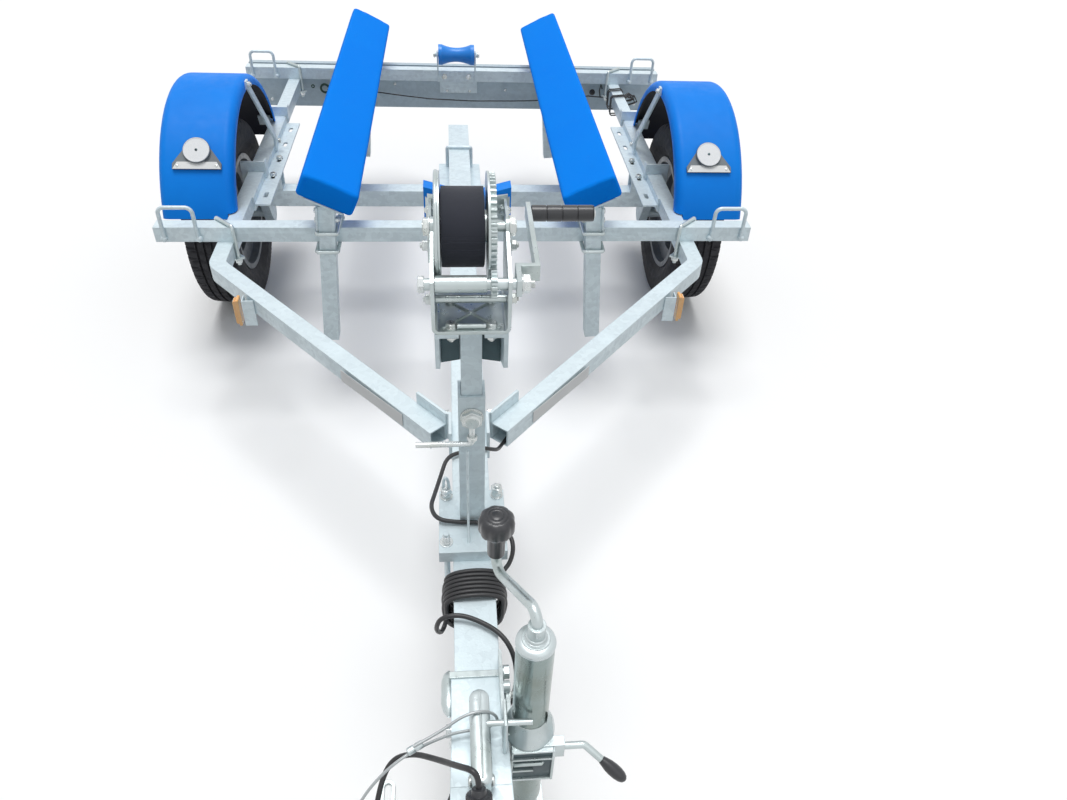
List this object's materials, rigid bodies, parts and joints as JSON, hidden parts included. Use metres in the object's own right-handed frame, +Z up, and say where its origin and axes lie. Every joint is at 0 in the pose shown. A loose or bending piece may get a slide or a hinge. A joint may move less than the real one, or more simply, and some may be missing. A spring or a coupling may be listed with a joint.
{
  "type": "personal watercraft trailer",
  "caption": "Single-axle galvanised trailer for a personal watercraft, with padded bunks, winch post, bow stop, mudguards and jockey wheel.",
  "frame": {"origin": "on the floor under the middle of the outer box, without the cords", "axes": "+Y from the coupling towards the rear, +Z up, +X to the right seen from the front"},
  "size_m": [1.595, 2.9, 1.0522],
  "materials": {
    "galvanised_steel": "dull galvanised, faint spangle",
    "bright_zinc": "bright zinc plating",
    "rim_steel": "silver paint, satin",
    "tyre_rubber": "matt",
    "wheel_rubber": "matt",
    "blue_plastic": "satin moulded",
    "bunk_cover": "smooth bright blue covering",
    "black_plastic": "matt",
    "white_plastic": "prismatic, glossy",
    "lamp_red": "glossy",
    "marker_amber": "glossy",
    "strap_webbing": "woven webbing",
    "cord_black": "smooth sheath, matt",
    "coated_cable": "steel cable in a clear sheath"
  },
  "bodies": {
    "trailer_frame": {"front_crossbar": "galvanised_steel", "rear_crossbar": "galvanised_steel", "rail_left": "galvanised_steel", "rail_right": "galvanised_steel", "tie_loops_front": "galvanised_steel", "tie_loops_rear": "galvanised_steel", "crossbar_clamps": "galvanised_steel", "drawbar": "galvanised_steel", "junction_plates": "galvanised_steel", "axle_saddle": "galvanised_steel", "axle_beam": "galvanised_steel", "axle_flanges": "galvanised_steel", "swing_arms": "galvanised_steel", "mudguard_left": "blue_plastic", "mudguard_right": "blue_plastic", "guard_brackets": "galvanised_steel", "guard_reflectors": "white_plastic", "bunk_left": "bunk_cover", "bunk_right": "bunk_cover", "bunk_posts": "galvanised_steel", "bunk_brackets": "galvanised_steel", "light_board": "galvanised_steel", "rear_lamps": "lamp_red", "roller_bracket": "galvanised_steel", "winch_post_socket": "galvanised_steel", "winch_post": "galvanised_steel", "post_clamp_handle": "bright_zinc", "winch_frame": "bright_zinc", "bow_stop": "blue_plastic", "bow_stop_straps": "bright_zinc", "coupling": "galvanised_steel", "coupling_head": "galvanised_steel", "coupling_lever": "bright_zinc", "jockey_tube": "bright_zinc", "jockey_clamp": "bright_zinc", "toggle_grip": "black_plastic", "jockey_crank": "bright_zinc", "jockey_knob": "black_plastic", "marker_brackets": "galvanised_steel", "marker_lenses": "marker_amber", "lead_rear": "cord_black", "lead_front": "cord_black", "lead_winding": "cord_black", "lead_plug": "black_plastic", "breakaway_cable": "coated_cable", "cable_hook": "bright_zinc"},
    "wheel_left": {"rim_left": "rim_steel", "tyre_left": "tyre_rubber"},
    "wheel_right": {"rim_right": "rim_steel", "tyre_right": "tyre_rubber"},
    "roller": {"keel_roller": "blue_plastic"},
    "drum": {"winch_drum": "bright_zinc", "strap_roll": "strap_webbing"},
    "crank": {"winch_crank": "bright_zinc", "crank_grip": "black_plastic"},
    "jockey_stem_body": {"jockey_stem": "bright_zinc"},
    "jockey_fork_body": {"jockey_fork": "bright_zinc"},
    "jockey_wheel_body": {"jockey_wheel": "wheel_rubber"}
  },
  "joints": [
    {"name": "wheel_left_spin", "type": "hinge", "parent": "trailer_frame", "child": "wheel_left", "pos_m": [-0.72, 0.55, 0.281], "axis": [1, 0, 0], "continuous": true},
    {"name": "wheel_right_spin", "type": "hinge", "parent": "trailer_frame", "child": "wheel_right", "pos_m": [0.72, 0.55, 0.281], "axis": [1, 0, 0], "continuous": true},
    {"name": "keel_roller_spin", "type": "hinge", "parent": "trailer_frame", "child": "roller", "pos_m": [0, 1.25, 0.556], "axis": [1, 0, 0], "continuous": true},
    {"name": "winch_drum_spin", "type": "hinge", "parent": "trailer_frame", "child": "drum", "pos_m": [0, -0.872, 0.98], "axis": [1, 0, 0], "continuous": true},
    {"name": "winch_crank_spin", "type": "hinge", "parent": "trailer_frame", "child": "crank", "pos_m": [0, -0.94561, 0.9375], "axis": [1, 0, 0], "continuous": true},
    {"name": "jockey_slide", "type": "slide", "parent": "trailer_frame", "child": "jockey_stem_body", "axis": [0, 0, 1], "range_m": [-0.12, 0.05]},
    {"name": "jockey_swivel", "type": "hinge", "parent": "jockey_stem_body", "child": "jockey_fork_body", "pos_m": [0.067, -1.285, 0.213], "axis": [0, 0, 1], "continuous": true},
    {"name": "jockey_wheel_spin", "type": "hinge", "parent": "jockey_fork_body", "child": "jockey_wheel_body", "pos_m": [0.067, -1.253, 0.1], "axis": [1, 0, 0], "continuous": true}
  ],
  "couplings": [
    {"joint": "winch_crank_spin", "follows": "winch_drum_spin", "ratio": -4}
  ]
}
